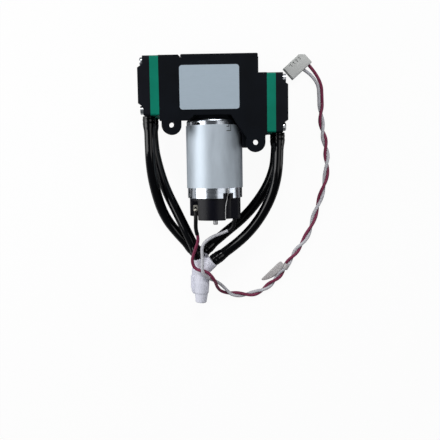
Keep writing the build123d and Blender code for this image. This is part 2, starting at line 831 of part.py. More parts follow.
# Motor: drawn can, flux sleeve, magnets, bushes and the moulded end cap with its brush gear
notch_mid = (notch_x[0] + notch_x[1]) / 2
with BuildPart() as motor_can:
    with BuildSketch(across(motor_face_y)):
        with Locations((0, axis_z)):
            Circle(can_r)
    extrude(amount=motor_face_y - can_rear_y)
    fillet(motor_can.edges().group_by(Axis.Y)[-1], can_corner)
    with BuildSketch(across(motor_face_y + motor_boss_h)):
        with Locations((0, axis_z)):
            Circle(motor_boss_r)
    extrude(amount=motor_boss_h)
    with BuildSketch(across(motor_face_y - can_t)):
        with Locations((0, axis_z)):
            Circle(can_inner)
    extrude(amount=motor_face_y - can_t - can_rear_y, mode=Mode.SUBTRACT)
    with BuildSketch(across(motor_face_y + motor_boss_h - 0.6)):
        with Locations((0, axis_z)):
            Circle(bush_r + slip / 2)
    extrude(amount=motor_boss_h + can_t, mode=Mode.SUBTRACT)
    with BuildSketch(across(motor_face_y + motor_boss_h)):
        with Locations((0, axis_z)):
            Circle(shaft_r + 0.4)
    extrude(amount=motor_boss_h, mode=Mode.SUBTRACT)
    with BuildSketch(across(motor_face_y)):
        with Locations((0, axis_z)):
            with GridLocations(motor_screw_pitch, 0, 2, 1):
                Circle(m3_r + slip)
    extrude(amount=can_t, mode=Mode.SUBTRACT)
    with BuildSketch(across(can_rear_y + notch_depth)):
        with Locations((notch_mid, axis_z + can_r)):
            Rectangle(notch_x[1] - notch_x[0], can_r)
    extrude(amount=notch_depth, mode=Mode.SUBTRACT)
    vent_lean = Plane(
        origin=(0, motor_face_y - vent[1], axis_z),
        x_dir=(0, 1, 0),
        z_dir=(vent[0], 0, (can_r**2 - vent[0] ** 2) ** 0.5),
    )
    with BuildSketch(vent_lean.offset(can_inner - 1)):
        Circle(vent[2])
    extrude(amount=can_t + 2, mode=Mode.SUBTRACT)
save(motor_can.part, "motor_can")

with BuildPart() as flux_sleeve:
    with BuildSketch(across(motor_face_y - sleeve_front)):
        with Locations((0, axis_z)):
            Circle(can_r + slip / 2 + sleeve_t)
            Circle(can_r + slip / 2, mode=Mode.SUBTRACT)
    extrude(amount=can_l - sleeve_front - sleeve_rear)
save(flux_sleeve.part, "flux_sleeve")

with BuildPart() as magnets:
    with BuildSketch(across(motor_face_y - magnet_front)):
        with Locations((0, axis_z)):
            Circle(magnet_outer_r)
            Circle(magnet_inner_r, mode=Mode.SUBTRACT)
            Rectangle(magnet_gap, 2 * can_r, mode=Mode.SUBTRACT)
    extrude(amount=can_l - magnet_front - magnet_rear)
save(magnets.part, "magnets")

with BuildPart() as front_bush:
    with BuildSketch(across(motor_face_y + motor_boss_h - 0.6)):
        with Locations((0, axis_z)):
            Circle(bush_r)
            Circle(shaft_r + running, mode=Mode.SUBTRACT)
    extrude(amount=bush_l)
save(front_bush.part, "front_bush")

with BuildPart() as rear_bush:
    with BuildSketch(across(cap_floor_y)):
        with Locations((0, axis_z)):
            Circle(bush_r)
            Circle(shaft_r + running, mode=Mode.SUBTRACT)
    extrude(amount=bush_l)
save(rear_bush.part, "rear_bush")

with BuildPart() as motor_screws:
    with BuildSketch(across(motor_face_y + motor_wall_t + pan_h)):
        with Locations((0, axis_z)):
            with GridLocations(motor_screw_pitch, 0, 2, 1):
                Circle(pan_r - 0.1)
    extrude(amount=pan_h)
    with BuildSketch(across(motor_face_y + motor_wall_t)):
        with Locations((0, axis_z)):
            with GridLocations(motor_screw_pitch, 0, 2, 1):
                Circle(m3_r)
    extrude(amount=motor_wall_t + can_t + 1.5)
save(motor_screws.part, "motor_screws")

barrel_mid = (barrel_x[0] + barrel_x[1]) / 2
with BuildPart() as motor_end_cap:
    with BuildSketch(across(can_rear_y + cap_lip)):
        with Locations((0, axis_z)):
            Circle(can_inner - slip)
    extrude(amount=cap_lip)
    with BuildSketch(across(can_rear_y)):
        with Locations((0, axis_z)):
            Circle(cap_r)
    extrude(amount=can_rear_y - cap_rear_y)
    with BuildSketch(across(can_rear_y)):
        with Locations((0, axis_z)):
            Circle(cap_r)
        with Locations((barrel_mid, axis_z)):
            Rectangle(barrel_x[1] - barrel_x[0], 2 * cap_r, mode=Mode.INTERSECT)
    extrude(amount=can_rear_y - barrel_rear_y)
    with BuildSketch(across(can_rear_y)):
        with Locations((0, axis_z)):
            Circle(cap_r)
        with Locations(((barrel_x[1] + cap_r) / 2, axis_z + cap_r / 2)):
            Rectangle(cap_r - barrel_x[1] + 0.2, cap_r, mode=Mode.INTERSECT)
    extrude(amount=block_l)
    with BuildSketch(across(can_rear_y - hood_gap)):
        with Locations(((barrel_x[1] + cap_r - hood_inset) / 2, axis_z + hood_rise / 2)):
            RectangleRounded(cap_r - hood_inset - barrel_x[1], hood_rise, head_corner)
    extrude(amount=block_l - hood_gap)
    chamfer(motor_end_cap.faces().sort_by(Axis.Y)[0].edges(), 0.5)
    with BuildSketch(across(can_rear_y + notch_depth - slip)):
        with Locations((0, axis_z)):
            Circle(can_r)
            Circle(can_inner - 0.5, mode=Mode.SUBTRACT)
        with Locations((notch_mid, axis_z + can_r)):
            Rectangle(notch_x[1] - notch_x[0] - 0.2, can_r, mode=Mode.INTERSECT)
            Rectangle(notch_x[1] - notch_x[0] - 2 * cap_tab_w, can_r, mode=Mode.SUBTRACT)
    extrude(amount=notch_depth + 0.6)
    with BuildSketch(across(can_rear_y + cap_lip)):
        with Locations((0, axis_z)):
            Circle(cap_room_r)
    extrude(amount=can_rear_y + cap_lip - cap_floor_y, mode=Mode.SUBTRACT)
    with BuildSketch(across(cap_floor_y)):
        with Locations((0, axis_z)):
            Circle(bush_r + slip / 2)
    extrude(amount=bush_l, mode=Mode.SUBTRACT)
    with BuildSketch(across(cap_floor_y)):
        with Locations((0, axis_z)):
            Circle(shaft_r + 0.4)
    extrude(amount=cap_floor_y - barrel_rear_y, mode=Mode.SUBTRACT)
    with BuildSketch(across(terminal_y[0] + 2.5)):
        with Locations(((barrel_x[0] - cap_r) / 2, (pocket_z + head_size) / 2)):
            Rectangle(cap_r + barrel_x[0], head_size - pocket_z)
    extrude(amount=terminal_y[0] + 2.5 - cap_rear_y, mode=Mode.SUBTRACT)
    with BuildSketch(across(terminal_y[0] + 2.5)):
        with Locations((terminal_x, (pocket_z + terminal_z + pocket_rise) / 2)):
            Rectangle(terminal_w + 1.2, terminal_z + pocket_rise - pocket_z)
    extrude(amount=terminal_y[0] + 2.5 - cap_block_y, mode=Mode.SUBTRACT)
save(motor_end_cap.part, "motor_end_cap")

brush_mid_y = commutator_y - commutator_l / 2 - 1.5
brush_l = arm_x - commutator_r
with BuildPart() as brushes:
    with BuildSketch(across(brush_mid_y + brush_t / 2)):
        with Locations((0, axis_z)):
            with GridLocations(2 * commutator_r + brush_l, 0, 2, 1):
                Rectangle(brush_l, brush_h)
            Circle(commutator_r + running, mode=Mode.SUBTRACT)
    extrude(amount=brush_t)
save(brushes.part, "brushes")

with BuildPart() as brush_springs:
    with BuildSketch(Plane.XY.offset(axis_z - 1.5)):
        for way in (-1, 1):
            with BuildLine():
                Polyline(
                    (way * arm_x, brush_mid_y + brush_t / 2),
                    (way * (arm_x + 0.3), brush_mid_y + brush_t / 2),
                    (way * (arm_x + 0.3), brush_mid_y - brush_t / 2),
                    (way * (cap_room_r - spring_inset), cap_floor_y + 3.0),
                    (way * (cap_room_r - spring_inset), cap_floor_y),
                    (way * (cap_room_r - spring_inset - 0.3), cap_floor_y),
                    (way * (cap_room_r - spring_inset - 0.3), cap_floor_y + 2.9),
                    (way * arm_x, brush_mid_y - brush_t / 2),
                    close=True,
                )
            make_face()
    extrude(amount=3.0)
save(brush_springs.part, "brush_springs")

# Solder terminals: flat tabs with an eye and a narrow tail, standing on a leg in the end cap
with BuildPart() as terminals:
    with BuildSketch(Plane.XY.offset(terminal_z)):
        for way in (-1, 1):
            with Locations((way * terminal_x, terminal_y[0] - terminal_l / 2)):
                RectangleRounded(terminal_w, terminal_l, 0.6)
                Circle(0.8, mode=Mode.SUBTRACT)
            with Locations((way * terminal_x, (terminal_y[1] + tail_end_y) / 2)):
                Rectangle(tail_w, terminal_y[1] - tail_end_y)
    extrude(amount=terminal_t)
    with BuildSketch(Plane.XY.offset(pocket_z)):
        for way in (-1, 1):
            with Locations((way * terminal_x, terminal_y[0] - terminal_t / 2 - 0.3)):
                Rectangle(tail_w, terminal_t)
    extrude(amount=terminal_z - pocket_z)
save(terminals.part, "terminals")


def route(points):
    """Path of straight runs joined by arcs, each as large as its two runs allow."""
    spots = [Vector(*p) for p in points]
    radii = []
    for before, corner, after in zip(spots, spots[1:], spots[2:]):
        run_in, run_out = corner - before, after - corner
        shorter = min(run_in.length, run_out.length)
        turn = run_in.get_angle(run_out)
        radii.append(0.45 * shorter / tan(radians(turn) / 2))
    return FilletPolyline(*spots, radius=radii), radii


def start_plane(points):
    """Plane square to a route at its first point."""
    first, second = Vector(*points[0]), Vector(*points[1])
    return Plane(origin=first, z_dir=second - first)


def report_route(name, path, radii, part, area):
    """Print a route's length, its tightest arc and how its volume compares."""
    share = part.volume / (area * path.length)
    print(f"{name}: {path.length:.1f} mm, tightest arc {min(radii):.1f}, volume ratio {share:.4f}")


# Y-fittings: an oval trunk that ends in a round socket, and two barbed arms
def arm_direction(angle, lean):
    return Vector(sin(radians(angle - lean)), cos(radians(angle - lean)), 0)


def arm_end(junction, lean, arm, way):
    length, angle = arm
    return Vector(*junction) + arm_direction(way * angle, lean) * length


def trunk_plane(junction, lean, along):
    """Plane square to the trunk, that far along it from the junction, facing its socket."""
    trunk = arm_direction(180, lean)
    origin = Vector(*junction) + trunk * along
    return Plane(origin=origin, x_dir=trunk.cross(Vector(0, 0, 1)), z_dir=trunk)


def make_wye(name, junction, lean):
    with BuildPart() as wye:
        for along, wide, deep in (
            (-2.0, trunk_wide - 0.6, collar_r),
            (4.5, trunk_wide, collar_r),
            (trunk_l - trunk_spigot_l, trunk_spigot_r + 0.4, trunk_spigot_r + 0.2),
        ):
            with BuildSketch(trunk_plane(junction, lean, along)):
                Ellipse(wide, deep)
        loft(ruled=True)
        with BuildSketch(trunk_plane(junction, lean, trunk_l - trunk_spigot_l)):
            Circle(trunk_spigot_r)
        extrude(amount=trunk_spigot_l)
        for arm, way in ((left_arm, -1), (right_arm, 1)):
            direction = arm_direction(way * arm[1], lean)
            with BuildSketch(Plane(origin=junction, z_dir=direction)):
                Circle(collar_r)
            extrude(amount=arm[0])
            end = arm_end(junction, lean, arm, way)
            with BuildSketch(Plane(origin=end, z_dir=direction)):
                Circle(barb_r)
            extrude(amount=cuff_l)
            with BuildSketch(Plane(origin=end + direction * 1.5, z_dir=direction)):
                Circle(barb_crest)
            extrude(amount=3.0, taper=8)
            with BuildSketch(Plane(origin=junction, z_dir=direction)):
                Circle(wye_bore_r)
            extrude(amount=arm[0] + cuff_l, mode=Mode.SUBTRACT)
        with BuildSketch(trunk_plane(junction, lean, 0)):
            Circle(wye_bore_r)
        extrude(amount=trunk_l, mode=Mode.SUBTRACT)
        with BuildSketch(trunk_plane(junction, lean, trunk_l)):
            Circle(socket_r)
        extrude(amount=-socket_l, mode=Mode.SUBTRACT)
    save(wye.part, name)


make_wye("wye_inlet", inlet_wye, 0)
make_wye("wye_outlet", outlet_wye, outlet_wye_lean)

# Hoses from each port to an arm of a Y-fitting, stretched over the barbs at both ends
last_run = 18.0
upper_z = axis_z + port_rise
lower_z = axis_z - port_rise


def hose_end(junction, lean, arm, way):
    """The last two points of a hose, square to its arm of the fitting."""
    end = arm_end(junction, lean, arm, way)
    before = end + arm_direction(way * arm[1], lean) * last_run
    return [tuple(before), tuple(end)]


hose_routes = {
    "hose_left_upper": [
        (-port_x, left_foot_y, upper_z),
        (-port_x, -30.5, upper_z),
        (-42.8, -47.0, 24.2),
        (-40.9, -63.0, 17.8),
        (-35.7, -79.3, 10.0),
    ]
    + hose_end(outlet_wye, outlet_wye_lean, left_arm, -1),
    "hose_left_lower": [
        (-port_x, left_foot_y, lower_z),
        (-port_x, -30.8, lower_z),
        (-39.6, -47.0, 8.4),
        (-34.7, -62.5, 8.2),
        (-27.4, -77.2, 10.4),
    ]
    + hose_end(inlet_wye, 0, left_arm, -1),
    "hose_right_upper": [
        (port_x, right_foot_y, upper_z),
        (port_x, -43.5, upper_z),
        (40.6, -60.5, 24.6),
        (34.2, -76.5, 21.0),
        (24.0, -91.5, 17.2),
    ]
    + hose_end(inlet_wye, 0, right_arm, 1),
    "hose_right_lower": [
        (port_x, right_foot_y, lower_z),
        (port_x, -42.8, lower_z),
        (38.5, -57.2, 8.0),
        (31.3, -69.5, 6.4),
        (20.4, -82.7, 5.2),
    ]
    + hose_end(outlet_wye, outlet_wye_lean, right_arm, 1),
}

cuff_slope = degrees(atan2((cuff_d - hose_d) / 2 + 0.05, cuff_taper))
for name, points in hose_routes.items():
    path, radii = route(points)
    with BuildPart() as hose:
        with BuildSketch(start_plane(points)):
            Circle(hose_d / 2)
        sweep(path=path)
        report_route(name, path, radii, hose.part, pi * hose_d**2 / 4)
        for here, onward in ((points[0], points[1]), (points[-1], points[-2])):
            direction = Vector(*onward) - Vector(*here)
            with BuildSketch(Plane(origin=here, z_dir=direction)):
                Circle(cuff_d / 2)
            extrude(amount=cuff_l)
            with BuildSketch(Plane(origin=here, z_dir=direction).offset(cuff_l)):
                Circle(cuff_d / 2)
            extrude(amount=cuff_taper, taper=cuff_slope)
        with BuildSketch(start_plane(points)):
            Circle(hose_bore_d / 2)
        sweep(path=path, mode=Mode.SUBTRACT)
        for here, onward in ((points[0], points[1]), (points[-1], points[-2])):
            direction = Vector(*onward) - Vector(*here)
            with BuildSketch(Plane(origin=here, z_dir=direction)):
                Circle(cuff_bore_d / 2)
            extrude(amount=cuff_l, mode=Mode.SUBTRACT)
    save(hose.part, name)

# Leads: from the terminals over the Y-fittings to the start of their twisted stretch
pair_start = Vector(9.3, -138.2, 2.3)
pair_next = Vector(25.5, -141.3, 2.3)
pair_way = (pair_next - pair_start).normalized()
pair_side = Vector(0, 0, 1).cross(pair_way)
lead_run = 8.0
tail_z = terminal_z + terminal_t / 2


def lead_end(way):
    """The last two points of a lead, beside the other where the twisted stretch starts."""
    end = pair_start + pair_side * (way * lead_gap / 2)
    return [tuple(end - pair_way * lead_run), tuple(end)]


lead_routes = {
    "red_lead": [
        (-terminal_x, tail_end_y, tail_z),
        (-terminal_x, tail_end_y - 4.0, tail_z),
        (-13.4, -88.8, 26.6),
        (-11.5, -96.0, 23.6),
        (-14.3, -103.4, 21.6),
        (-17.0, -111.0, 20.6),
        (-14.6, -117.4, 20.4),
        (-6.6, -118.6, 20.0),
        (-3.4, -125.4, 15.2),
        (-2.0, -133.4, 7.2),
    ]
    + lead_end(-1),
    "white_lead": [
        (terminal_x, tail_end_y, tail_z),
        (terminal_x, tail_end_y - 4.0, tail_z),
        (12.2, -87.9, 27.4),
        (5.2, -91.4, 24.9),
        (-3.0, -94.4, 23.2),
        (-9.8, -100.0, 22.4),
        (-9.3, -109.5, 22.8),
        (-9.8, -118.2, 23.6),
        (-6.8, -123.6, 21.2),
        (0.4, -127.8, 14.6),
    ]
    + lead_end(1),
}

for name, points in lead_routes.items():
    path, radii = route(points)
    with BuildPart() as lead:
        with BuildSketch(start_plane(points)):
            Circle(lead_d / 2)
        sweep(path=path)
        report_route(name, path, radii, lead.part, pi * lead_d**2 / 4)
    save(lead.part, name)
    side = "left" if name == "red_lead" else "right"
    spots = [Vector(*p) for p in points[:4]]
    back = (spots[0] - spots[1]).normalized() * shrink_back
    stop = spots[2] + (spots[3] - spots[2]) * 0.5
    shrink_path = FilletPolyline(spots[0] + back, *spots[1:3], stop, radius=radii[:2])
    with BuildPart() as shrink:
        with BuildSketch(Plane(origin=spots[0] + back, z_dir=spots[1] - spots[0])):
            Circle(shrink_r[1])
            Circle(shrink_r[0], mode=Mode.SUBTRACT)
        sweep(path=shrink_path)
    save(shrink.part, f"heat_shrink_{side}")

# Twisted stretch of both leads, to the plug housing
plug_face = Vector(sin(radians(plug_turn)), -cos(radians(plug_turn)), 0)
plug_along = Vector(cos(radians(plug_turn)), sin(radians(plug_turn)), 0)
plug_mid = Vector(*plug_centre, plug_h / 2)
way_offsets = [(n - (plug_ways - 1) / 2) * plug_pitch for n in range(plug_ways)]
entry = plug_mid + plug_face * (plug_depth / 2) + plug_along * ((way_offsets[-1] + way_offsets[-2]) / 2)
pair_points = [
    tuple(pair_start),
    tuple(pair_next),
    (41.5, -127.3, 2.3),
    (55.0, -111.2, 2.3),
    (66.0, -96.4, 2.3),
    (72.0, -77.5, 2.3),
    (78.8, -56.5, 2.3),
    (79.2, -37.5, 2.3),
    (75.0, -18.5, 2.3),
    (74.6, -1.5, 2.4),
    tuple(entry + plug_face * 12.8),
    tuple(entry),
]
path, radii = route(pair_points)
with BuildPart() as lead_pair:
    with BuildSketch(start_plane(pair_points)):
        Circle(pair_d / 2)
    sweep(path=path)
    report_route("lead_pair", path, radii, lead_pair.part, pi * pair_d**2 / 4)
save(lead_pair.part, "lead_pair")

# Tape flag folded round the twisted stretch
flag_centre = path.position_at(flag_along / path.length)
flag_way = path.tangent_at(flag_along / path.length)
with BuildPart() as tape_flag:
    with BuildSketch(Plane(origin=flag_centre - flag_way * flag_band_l / 2, z_dir=flag_way)):
        Circle(pair_d / 2 + 0.4)
        Circle(pair_d / 2 + 0.2, mode=Mode.SUBTRACT)
    extrude(amount=flag_band_l)
    with BuildSketch(Plane(origin=flag_centre - Vector(0, 0, flag_t / 2), x_dir=flag_way, z_dir=(0, 0, 1))):
        with BuildLine():
            Polyline(
                (flag_band_l / 2, pair_d / 2 + 0.3),
                (-flag_band_l / 2, pair_d / 2 + 0.3),
                (-flag_l + 5.5, flag_w),
                (-flag_l, flag_w + 2.2),
                (-flag_l + 9.0, flag_w + 4.4),
                (flag_band_l / 2 - 1.0, flag_w),
                close=True,
            )
        make_face()
    extrude(amount=flag_t)
save(tape_flag.part, "tape_flag")

# Plug housing, lying by the corner of the right head
plug_top = Plane(origin=(*plug_centre, 0), x_dir=plug_along, z_dir=(0, 0, 1))
plug_back = Plane(origin=plug_mid + plug_face * (plug_depth / 2), x_dir=plug_along, z_dir=plug_face)
with BuildPart() as plug_housing:
    with BuildSketch(plug_top) as plug_outline:
        with BuildLine():
            half_l, half_w = plug_l / 2, plug_depth / 2
            Polyline(
                (-half_l, -half_w),
                (half_l, -half_w),
                (half_l, half_w - plug_corner),
                (half_l - plug_corner, half_w),
                (-half_l, half_w),
                close=True,
            )
        make_face()
    extrude(amount=plug_h)
    chamfer(plug_housing.faces().sort_by(Axis.Z)[-1].edges(), 0.4)
    with BuildSketch(plug_back):
        with Locations(*[(offset, 0) for offset in way_offsets[:-2]]):
            Circle(plug_entry_r)
    extrude(amount=-plug_entry_depth, mode=Mode.SUBTRACT)
    with BuildSketch(plug_top.offset(plug_h)):
        with Locations(*[(offset, half_w - 2.4) for offset in way_offsets[1:-1]]):
            Rectangle(plug_window[0], plug_window[1])
    extrude(amount=-plug_window[2], mode=Mode.SUBTRACT)
    with BuildSketch(plug_back.offset(-plug_entry_depth - 0.5)):
        with Locations(*[(offset, 0) for offset in way_offsets[-2:]]):
            Rectangle(1.6, 1.6)
    extrude(amount=-plug_depth, mode=Mode.SUBTRACT)
save(plug_housing.part, "plug_housing")

contact_l = plug_depth - plug_entry_depth - plug_back_wall
with BuildPart() as plug_contacts:
    with BuildSketch(plug_back.offset(-plug_entry_depth - 0.5)):
        with Locations(*[(offset, 0) for offset in way_offsets[-2:]]):
            Rectangle(1.5, 1.5)
    extrude(amount=-contact_l)
    with BuildSketch(plug_back.offset(-plug_entry_depth - 0.5 - contact_l)):
        with Locations(*[(offset, 0) for offset in way_offsets[-2:]]):
            Rectangle(0.8, 0.8)
    extrude(amount=3.0, mode=Mode.SUBTRACT)
save(plug_contacts.part, "plug_contacts")
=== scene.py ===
import json
import bpy
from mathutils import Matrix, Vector
from math import cos, exp, pi, sin


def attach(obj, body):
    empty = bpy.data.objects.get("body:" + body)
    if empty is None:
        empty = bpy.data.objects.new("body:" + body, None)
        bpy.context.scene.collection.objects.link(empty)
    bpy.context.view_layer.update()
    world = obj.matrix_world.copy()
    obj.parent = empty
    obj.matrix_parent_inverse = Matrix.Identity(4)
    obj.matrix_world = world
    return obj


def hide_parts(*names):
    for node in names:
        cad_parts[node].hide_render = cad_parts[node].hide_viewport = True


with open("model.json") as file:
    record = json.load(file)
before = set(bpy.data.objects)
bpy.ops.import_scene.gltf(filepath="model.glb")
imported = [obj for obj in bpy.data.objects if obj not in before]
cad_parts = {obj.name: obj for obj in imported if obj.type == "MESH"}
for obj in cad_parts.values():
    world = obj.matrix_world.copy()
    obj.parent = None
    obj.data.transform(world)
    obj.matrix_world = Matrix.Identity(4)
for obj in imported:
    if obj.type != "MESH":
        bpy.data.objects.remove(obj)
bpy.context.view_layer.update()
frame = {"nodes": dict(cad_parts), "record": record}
nodes = frame["nodes"]
MM = 0.001

# Lengths are in mm unless a comment says metres: heights above the floor, radii and diameters
shaft_z = 19.0
can_r = 18.5
sleeve_r = 19.0
cap_r = 17.3
inlet_z = 13.5
outlet_z = 4.7
pair_z = 2.3
hose_d = 7.0
lead_d = 2.2

# Barbs of the heads, where the hoses start
barb_x = 42.7
left_barb_y = -13.0
right_barb_y = -25.0
upper_barb_z = 28.0
lower_barb_z = 10.0


# Camera, in the photograph's place
def place_camera():
    bpy.ops.object.camera_add(location=Vector((7.942, -45.098, 423.111)) * MM)
    camera = bpy.context.object
    camera.name = "camera"
    camera.rotation_mode = "ZYX"
    camera.rotation_euler = (-0.0942, 0.012, -0.0146)
    camera.data.sensor_width = 36.0
    camera.data.lens = 48.354
    camera.data.clip_start = 0.01
    bpy.context.scene.camera = camera


place_camera()
bpy.context.scene.view_settings.view_transform = "Standard"


# Helpers that select, shape and dress a piece
def deselect():
    bpy.ops.object.select_all(action="DESELECT")


def select_only(piece):
    deselect()
    piece.select_set(True)
    bpy.context.view_layer.objects.active = piece


def apply_place():
    """Puts the place of the selected pieces into their meshes."""
    bpy.ops.object.transform_apply(location=True, rotation=True, scale=True)


def apply_modifier(piece, kind, **settings):
    select_only(piece)
    modifier = piece.modifiers.new("shape", kind)
    for setting, value in settings.items():
        setattr(modifier, setting, value)
    bpy.ops.object.modifier_apply(modifier=modifier.name)


def dress(piece, finish, slot, *replaced):
    """Finish of a piece that stands still on the pump, and the nodes that it is shown for."""
    piece.data.materials.clear()
    piece.data.materials.append(finish)
    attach(piece, "pump")
    if replaced:
        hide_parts(*replaced)


# Finishes
def new_finish(name, colour, roughness, metallic=0.0, gloss=0.5):
    finish = bpy.data.materials.new(name)
    finish.use_nodes = True
    shader = finish.node_tree.nodes["Principled BSDF"]
    shader.inputs["Base Color"].default_value = (*colour, 1.0)
    shader.inputs["Roughness"].default_value = roughness
    shader.inputs["Metallic"].default_value = metallic
    shader.inputs["Specular IOR Level"].default_value = gloss
    return finish, finish.node_tree, shader


def object_noise(tree, scale, detail=4.0, stretch=(1, 1, 1)):
    coords = tree.nodes.new("ShaderNodeTexCoord")
    mapping = tree.nodes.new("ShaderNodeMapping")
    mapping.inputs["Scale"].default_value = stretch
    noise = tree.nodes.new("ShaderNodeTexNoise")
    noise.inputs["Scale"].default_value = scale
    noise.inputs["Detail"].default_value = detail
    tree.links.new(coords.outputs["Object"], mapping.inputs["Vector"])
    tree.links.new(mapping.outputs["Vector"], noise.inputs["Vector"])
    return noise.outputs["Fac"]


def tint_between(tree, shader, source, dark, light, low=0.3, high=0.7):
    """Colour that goes from dark to light as the source goes from low to high."""
    ramp = tree.nodes.new("ShaderNodeValToRGB")
    ramp.color_ramp.elements[0].position = low
    ramp.color_ramp.elements[0].color = (*dark, 1.0)
    ramp.color_ramp.elements[1].position = high
    ramp.color_ramp.elements[1].color = (*light, 1.0)
    tree.links.new(source, ramp.inputs["Fac"])
    tree.links.new(ramp.outputs["Color"], shader.inputs["Base Color"])


def vary_roughness(tree, shader, source, low, high):
    spread = tree.nodes.new("ShaderNodeMapRange")
    spread.inputs["To Min"].default_value = low
    spread.inputs["To Max"].default_value = high
    tree.links.new(source, spread.inputs["Value"])
    tree.links.new(spread.outputs["Result"], shader.inputs["Roughness"])


def add_bump(tree, shader, source, height, edge, strength=0.6):
    """Bump of a height from a noise, over edges that look rounded by the edge radius, in metres."""
    bump = tree.nodes.new("ShaderNodeBump")
    bump.inputs["Strength"].default_value = strength
    bump.inputs["Distance"].default_value = height
    tree.links.new(source, bump.inputs["Height"])
    if edge:
        rounded = tree.nodes.new("ShaderNodeBevel")
        rounded.samples = 4
        rounded.inputs["Radius"].default_value = edge
        tree.links.new(rounded.outputs["Normal"], bump.inputs["Normal"])
    tree.links.new(bump.outputs["Normal"], shader.inputs["Normal"])


def moulded(name, dark, light, roughness, grain=900, height=0.00002, gloss=0.5, edge=0.0):
    """Moulded or rubbery surface: slow drift of colour and roughness, fine spark-eroded grain."""
    finish, tree, shader = new_finish(name, light, roughness, gloss=gloss)
    broad = object_noise(tree, scale=60)
    tint_between(tree, shader, broad, dark, light)
    fine = object_noise(tree, scale=grain, detail=2.0)
    add_bump(tree, shader, fine, height, edge)
    vary_roughness(tree, shader, broad, low=roughness - 0.06, high=roughness + 0.06)
    return finish


def metal(name, dark, light, roughness, stretch=(1, 1, 1), scale=400, metallic=1.0, edge=0.0):
    """Metal with drawn or brushed streaks, which run where stretch is lowest."""
    finish, tree, shader = new_finish(name, light, roughness, metallic=metallic)
    brushed = object_noise(tree, scale=scale, detail=3.0, stretch=stretch)
    tint_between(tree, shader, brushed, dark, light)
    vary_roughness(tree, shader, brushed, low=roughness - 0.04, high=roughness + 0.05)
    add_bump(tree, shader, brushed, height=0.000004, edge=edge)
    return finish


# Black, green and pale mouldings
casing_black = moulded(
    "casing_black", (0.0006, 0.0014, 0.0032), (0.0016, 0.0032, 0.0064), 0.5, gloss=0.11, edge=0.0003
)
cover_black = moulded(
    "cover_black", (0.0014, 0.002, 0.0045), (0.0036, 0.0048, 0.0095), 0.45, gloss=0.15, edge=0.0003
)
plate_green = moulded(
    "plate_green", (0.0006, 0.17, 0.108), (0.0012, 0.21, 0.138), 0.42, grain=500, gloss=0.14, edge=0.0002
)
cap_black = moulded(
    "cap_black", (0.001, 0.001, 0.003), (0.0022, 0.0022, 0.0065), 0.34, gloss=0.19, edge=0.0002
)
plug_grey = moulded(
    "plug_grey", (0.56, 0.575, 0.56), (0.68, 0.69, 0.68), 0.5, grain=700, gloss=0.35, edge=0.0002
)
fitting_milky = moulded(
    "fitting_milky", (0.72, 0.73, 0.84), (0.82, 0.825, 0.92), 0.42, grain=300, height=0.000008, gloss=0.35
)
rod_moulding = moulded("rod_moulding", (0.006, 0.006, 0.007), (0.014, 0.014, 0.016), 0.4)

# Rubber, hose, leads and tape
hose_black = moulded(
    "hose_black", (0.0002, 0.0002, 0.0006), (0.0006, 0.0006, 0.0016), 0.12,
    grain=260, height=0.000006, gloss=0.34,
)
shrink_black = moulded(
    "shrink_black", (0.0006, 0.0006, 0.001), (0.002, 0.002, 0.003), 0.42, grain=500, gloss=0.3
)
wire_red = moulded(
    "wire_red", (0.18, 0.018, 0.055), (0.26, 0.04, 0.1), 0.5, grain=300, height=0.000001, gloss=0.3
)
wire_white = moulded(
    "wire_white", (0.52, 0.52, 0.56), (0.62, 0.62, 0.66), 0.5, grain=300, height=0.000001, gloss=0.3
)
tape_grey = moulded(
    "tape_grey", (0.52, 0.5, 0.5), (0.62, 0.6, 0.6), 0.5, grain=350, height=0.000002, gloss=0.3
)
seal_black = moulded("seal_black", (0.003, 0.003, 0.003), (0.008, 0.008, 0.008), 0.55)
valve_amber = moulded("valve_amber", (0.3, 0.18, 0.08), (0.45, 0.28, 0.14), 0.4)

# Metals seen from outside
screw_zinc = metal("screw_zinc", (0.5, 0.52, 0.55), (0.75, 0.77, 0.8), 0.26, edge=0.0001)
label_foil = metal(
    "label_foil", (0.375, 0.455, 0.525), (0.395, 0.475, 0.55), 0.55,
    stretch=(1, 6, 1), scale=300, metallic=0.1,
)
can_nickel = metal("can_nickel", (0.46, 0.5, 0.55), (0.62, 0.66, 0.72), 0.2, stretch=(1, 5, 1), scale=120)
sleeve_zinc = metal(
    "sleeve_zinc", (0.5, 0.565, 0.63), (0.56, 0.63, 0.7), 0.5, stretch=(4, 1, 4), scale=90, metallic=0.5
)
strap_tin = metal("strap_tin", (0.4, 0.4, 0.4), (0.6, 0.6, 0.6), 0.6, metallic=0.4)
terminal_tin = metal("terminal_tin", (0.42, 0.4, 0.34), (0.66, 0.64, 0.58), 0.35)
steel_bright = metal("steel_bright", (0.32, 0.32, 0.33), (0.5, 0.5, 0.51), 0.35)

# Metals, magnets and brushes inside
alloy = metal("alloy", (0.5, 0.51, 0.53), (0.7, 0.71, 0.73), 0.33, stretch=(10, 1, 1))
bronze = metal("bronze", (0.35, 0.22, 0.1), (0.5, 0.34, 0.17), 0.45)
copper = metal("copper", (0.45, 0.17, 0.08), (0.7, 0.32, 0.17), 0.3, stretch=(1, 10, 1))
core_steel = metal("core_steel", (0.12, 0.12, 0.13), (0.25, 0.25, 0.27), 0.45, stretch=(1, 60, 1))
magnet_grey = moulded("magnet_grey", (0.015, 0.015, 0.017), (0.03, 0.03, 0.033), 0.6)
carbon = moulded("carbon", (0.01, 0.01, 0.01), (0.02, 0.02, 0.021), 0.5)

